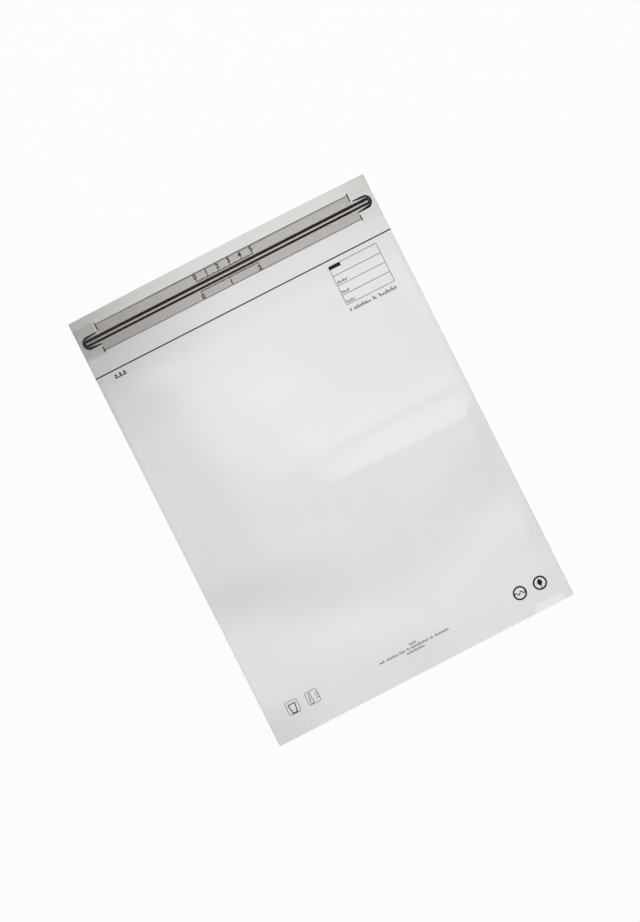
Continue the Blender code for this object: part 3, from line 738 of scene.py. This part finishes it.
# %% Tracks
BACK_TAPE_TOP = BACK_TAPE_Z + TAPE_THICKNESS
PLAY = 0.00012  # between a rib and its channel
HOOK_WALL = 0.00035
LIP = 0.0003  # thickness of the hooks' lips
STEM_HALF = 0.00025
TRACK_TOP = 0.00218
RIB_FOOT = BACK_TAPE_TOP - 0.00003  # a hair inside the tape
HEAD_TOP_SHARE = 0.55  # the width of the arrow head at its top, as a share of its width at the barbs


def mirrored(points):
    """A half section and its mirror image, as one closed outline."""
    return points + [(-y, z) for y, z in reversed(points)]


def draw_out(shape, outline, middle):
    """Extrudes a section of (y, z) points along the whole zip."""
    face = shape.faces.new([shape.verts.new((-TRACK_END, middle + y, z)) for y, z in outline])
    made = bmesh.ops.extrude_face_region(shape, geom=[face], use_keep_orig=True)["geom"]
    ends = [item for item in made if isinstance(item, bmesh.types.BMVert)]
    bmesh.ops.translate(shape, vec=(2 * TRACK_END, 0, 0), verts=ends)


def channel_outline(width):
    """The channel's section, open at the bottom: round the outside, then back along the inside."""
    half, foot = width / 2, BACK_TAPE_TOP + PLAY
    mouth, inner, lip = STEM_HALF + PLAY, half - HOOK_WALL, foot + LIP
    right = [(mouth, lip), (mouth, foot), (half, foot), (half, TRACK_TOP)]
    inside = [(-inner, lip), (-inner, FRONT_TAPE_SHELF_Z), (inner, FRONT_TAPE_SHELF_Z), (inner, lip)]
    return mirrored(right) + inside


def rib_outline(width):
    """An arrow head on a stem."""
    barb = BACK_TAPE_TOP + 2 * PLAY + LIP
    head, top = width / 2 - HOOK_WALL - PLAY, FRONT_TAPE_SHELF_Z - PLAY
    return mirrored([(STEM_HALF, RIB_FOOT), (STEM_HALF, barb), (head, barb), (HEAD_TOP_SHARE * head, top)])


def round_edges(shape, edges, radius, segments=2, clamp=False):
    """A round bevel. With clamp it stays narrow enough not to run over itself."""
    settings = {"profile": 0.5, "affect": "EDGES", "material": -1, "clamp_overlap": clamp}
    bmesh.ops.bevel(shape, geom=edges, offset=radius, segments=segments, **settings)


def make_tracks(name, outline, rounding):
    shape = bmesh.new()
    for low, high in (UPPER_TRACK, LOWER_TRACK):
        draw_out(shape, outline(high - low), (low + high) / 2)
    long_edges = [edge for edge in shape.edges if edge.calc_length() > TRACK_END]
    round_edges(shape, long_edges, rounding)
    bmesh.ops.recalc_face_normals(shape, faces=shape.faces)
    bmesh.ops.translate(shape, vec=(0, ZIP_Y, 0), verts=shape.verts)
    shift_points(shape)
    piece = add_object(name, shape, tracks)
    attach(piece, "root")
    return piece


channels = make_tracks("front_channels", channel_outline, 0.00008)
ribs = make_tracks("back_ribs", rib_outline, 0.00004)
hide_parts("front_zip_strip")
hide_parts("back_zip_strip")
print("faces of the channels and the ribs:", len(channels.data.polygons), len(ribs.data.polygons))

# %% [markdown]
# ## End seals and cut ends
#
# At each end of the zip a hot tool has crushed tapes and tracks to one dark pad with a round end and
# two tapering arms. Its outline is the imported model's own, so a copy of that mesh is merged, flattened
# and drawn up again to the height of the tracks, with its upper edge rounded. The blade that cut the
# wide part of each tape has left a short melted bead.

# %% End seals
SEAL_LOW_Z, SEAL_TOP_Z = 0.00060, 0.00195
SEAL_ROUNDING = 0.00045
BEAD_WIDTH = 0.0010
BEAD_LOW_Z, BEAD_HEIGHT = 0.00035, 0.00050
BEAD_OUT = 0.0003  # from the tape's cut end to the bead's middle
BEAD_ABOVE_Y, BEAD_ABOVE_LENGTH = ZIP_Y + 0.0092, 0.0070
BEAD_BELOW_Y, BEAD_BELOW_LENGTH = ZIP_Y - 0.0098, 0.0049


def upper_faces(node):
    """The upward faces of a CAD node, as a flat shape at Z = 0."""
    shape = bmesh.new()
    shape.from_mesh(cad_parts[node].data)
    bmesh.ops.remove_doubles(shape, verts=shape.verts, dist=TINY)
    others = [face for face in shape.faces if face.normal.z < 0.5]
    bmesh.ops.delete(shape, geom=others, context="FACES")
    for vert in shape.verts:
        vert.co.z = 0
    bmesh.ops.dissolve_limit(shape, angle_limit=0.01, verts=shape.verts, edges=shape.edges)
    return shape


def make_seal(name, node):
    shape = upper_faces(node)
    made = bmesh.ops.extrude_face_region(shape, geom=shape.faces[:], use_keep_orig=True)["geom"]
    raised = {item for item in made if isinstance(item, bmesh.types.BMVert)}
    for vert in shape.verts:
        vert.co.z = SEAL_TOP_Z if vert in raised else SEAL_LOW_Z
    rim = [edge for edge in shape.edges if edge.verts[0] in raised and edge.verts[1] in raised]
    round_edges(shape, rim, SEAL_ROUNDING, 4, clamp=True)
    bmesh.ops.recalc_face_normals(shape, faces=shape.faces)
    shift_points(shape)
    seal = add_object(name, shape, fused)
    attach(seal, "root")
    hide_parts(node)
    return seal


def make_bead(name, x, y, length):
    """A short rounded bar along Y."""
    shape = bmesh.new()
    bmesh.ops.create_cube(shape, size=1)
    bmesh.ops.scale(shape, vec=(BEAD_WIDTH, length, BEAD_HEIGHT), verts=shape.verts)
    round_edges(shape, shape.edges[:], 0.4 * BEAD_HEIGHT)
    bmesh.ops.translate(shape, vec=(x, y, BEAD_LOW_Z + BEAD_HEIGHT / 2), verts=shape.verts)
    shift_points(shape)
    bead = add_object(name, shape, fused)
    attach(bead, "root")


for side, word in ((-1, "left"), (1, "right")):
    seal = make_seal(f"{word}_pad", f"{word}_end_seal")
    above, below = side * (TAPE_END_ABOVE + BEAD_OUT), side * (TAPE_END_BELOW + BEAD_OUT)
    make_bead(f"{word}_bead_above", above, BEAD_ABOVE_Y, BEAD_ABOVE_LENGTH)
    make_bead(f"{word}_bead_below", below, BEAD_BELOW_Y, BEAD_BELOW_LENGTH)
    print(word, "pad:", len(seal.data.polygons), "faces")

# %% [markdown]
# ## Print
#
# The print is a coat of ink, so each mark is a flat shape laid on the film: cut along the film's own
# grid lines, lifted a hair above it and given a thickness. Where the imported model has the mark, its
# upward faces are the shape. Numbers are text objects turned into meshes. Lines of small print are
# only hinted at by short strokes, because nothing is written on this bag.

# %% Print helpers
INK_LIFT = 0.00005
INK = 0.00005
BOLDER = 0.00016  # how far the rim of a number is moved outwards
DIGIT_SHARE = 0.73  # how high a digit of Blender's own font is at size 1


def lay_print(name, shape, *nodes):
    """Lays a flat shape, already in its place, on the front film as a coat of ink."""
    cut(shape, *cut_lines())
    for vert in shape.verts:
        x, y = vert.co.x, vert.co.y
        vert.co = (*shifted(x, y), film_top(x, y) + INK_LIFT)
    piece = add_object(name, shape, ink)
    thicken(piece, INK, even=False)  # an even wall throws spikes from the sharp corners of a number
    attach(piece, "root")
    if nodes:
        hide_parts(*nodes)
    return piece


def number_shape(shape, digits, height, x, y):
    """Adds a number, centred on x, with its foot at y."""
    text = bpy.data.curves.new("number", "FONT")
    text.body, text.align_x = digits, "CENTER"
    text.size, text.offset = height / DIGIT_SHARE, BOLDER
    text.resolution_u = 4
    writer = bpy.data.objects.new("number", text)
    bpy.context.scene.collection.objects.link(writer)
    graph = bpy.context.evaluated_depsgraph_get()
    mesh = bpy.data.meshes.new_from_object(writer.evaluated_get(graph))
    old = set(shape.verts)
    shape.from_mesh(mesh)
    new = [vert for vert in shape.verts if vert not in old]
    bmesh.ops.translate(shape, vec=(x, y, 0), verts=new)
    bpy.data.objects.remove(writer)
    bpy.data.meshes.remove(mesh)


def block(shape, x, y, width, height):
    """Adds a flat rectangle whose lower left corner is at (x, y)."""
    made = bmesh.ops.create_grid(shape, x_segments=1, y_segments=1, size=0.5)["verts"]
    bmesh.ops.scale(shape, vec=(width, height, 1), verts=made)
    bmesh.ops.translate(shape, vec=(x + width / 2, y + height / 2, 0), verts=made)


# all as shares of the height of a row
STROKE_HEIGHTS = (1.0, 0.68, 0.7, 1.3, 0.66, 0.7, 0.68, 1.25, 0.7, 0.66, 1.3, 0.7)
STROKE_PITCH, STROKE_WIDTH = 0.62, 0.30
BAR_WIDTH, BAR_HEIGHT, BAR_UP = 0.52, 0.22, 0.5  # a level bar that starts at a stroke's left side


def strokes(shape, x, y, length, height, first):
    """Adds a row of short strokes of uneven height, which reads as a word from a step away."""
    pitch = STROKE_PITCH * height
    for i in range(max(1, round(length / pitch))):
        left = x + i * pitch
        tall = STROKE_HEIGHTS[(first + i) % len(STROKE_HEIGHTS)] * height
        block(shape, left, y, STROKE_WIDTH * height, tall)
        if i % 3 != 2:
            up = 0.0 if i % 2 else BAR_UP * height
            block(shape, left, y + up, BAR_WIDTH * height, BAR_HEIGHT * height)


print("print helpers ready")

# %% Fill line, arrows and marks
COPIED = {
    "printed_fill_line": "fill_line",
    "printed_arrows": "fill_arrows",
    "printed_centimetres": "ruler_centimetres",
    "printed_inches": "ruler_inches",
    "printed_panel": "writing_panel",
    "printed_cup": "cup_mark",
    "printed_thermometer": "thermometer_mark",
    "printed_wave": "wave_mark",
    "printed_leaf": "leaf_mark",
}
for name, node in COPIED.items():
    piece = lay_print(name, upper_faces(node), node)
    print(name, len(piece.data.polygons), "faces")

# %% [markdown]
# ### Numbers of the two scales
#
# The scale above the tracks counts centimetres and the one below them inches. Their numbers stand over
# and under the ticks, away from the tracks.

# %% Numbers
CENTIMETRE, INCH = 0.01, 0.0254
NUMBER_HEIGHT = 0.0040
NUMBER_GAP = 0.0006


def lay_numbers(name, count, unit, y):
    """Numbers from 0 upwards, one unit apart and centred on the bag, with their feet at y."""
    shape = bmesh.new()
    for i in range(count):
        number_shape(shape, str(i), NUMBER_HEIGHT, (i - (count - 1) / 2) * unit, y)
    piece = lay_print(name, shape)
    print(name, len(piece.data.polygons), "faces")


lay_numbers("centimetre_numbers", 6, CENTIMETRE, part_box("ruler_centimetres")[1].y + NUMBER_GAP)
lay_numbers("inch_numbers", 3, INCH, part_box("ruler_inches")[0].y - NUMBER_GAP - NUMBER_HEIGHT)

# %% [markdown]
# ### Small print
#
# The caption under the panel, the words in its rows and the three lines at the bottom of the bag are
# rows of strokes. Each row is a list of word lengths in millimetres, with even gaps between the words.

# %% Small print
CAPTION_WORDS = (1.2, 15.0, 3.4, 15.5)
FOOTER_WORDS = {
    "footer_upper": (6.0,),
    "footer_middle": (4.6, 10.4, 5.6, 1.6, 15.6, 3.4, 13.0),
    "footer_lower": (15.4,),
}
PANEL_WORDS = (8.0, 6.4, 9.2)  # one in each row, from the bottom up, apart from the top row
PANEL_ROWS = 4
PANEL_MARGIN = 0.0014
CAPTION_HEIGHT, FOOTER_HEIGHT, PANEL_WORD_HEIGHT = 0.0025, 0.0017, 0.0020


def lay_words(name, words, node, height):
    """A row of strokes that replaces a CAD node and fills its box from side to side."""
    low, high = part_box(node)
    spare = (high.x - low.x) - sum(words) / 1000
    gap = spare / max(1, len(words) - 1)
    shape, x = bmesh.new(), low.x
    for i, word in enumerate(words):
        strokes(shape, x, (low.y + high.y) / 2 - height / 2, word / 1000, height, 5 * i)
        x += word / 1000 + gap
    lay_print(name, shape, node)


lay_words("printed_caption", CAPTION_WORDS, "panel_caption", CAPTION_HEIGHT)
for node, words in FOOTER_WORDS.items():
    lay_words("printed_" + node, words, node, FOOTER_HEIGHT)

panel_low, panel_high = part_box("writing_panel")
row = (panel_high.y - panel_low.y) / PANEL_ROWS
shape = bmesh.new()
for i, word in enumerate(PANEL_WORDS):
    x, y = panel_low.x + PANEL_MARGIN, panel_low.y + i * row + PANEL_MARGIN
    strokes(shape, x, y, word / 1000, PANEL_WORD_HEIGHT, 3 * i)
lay_print("panel_words", shape)
print("small print laid")

# %% Finish
print("scene built")
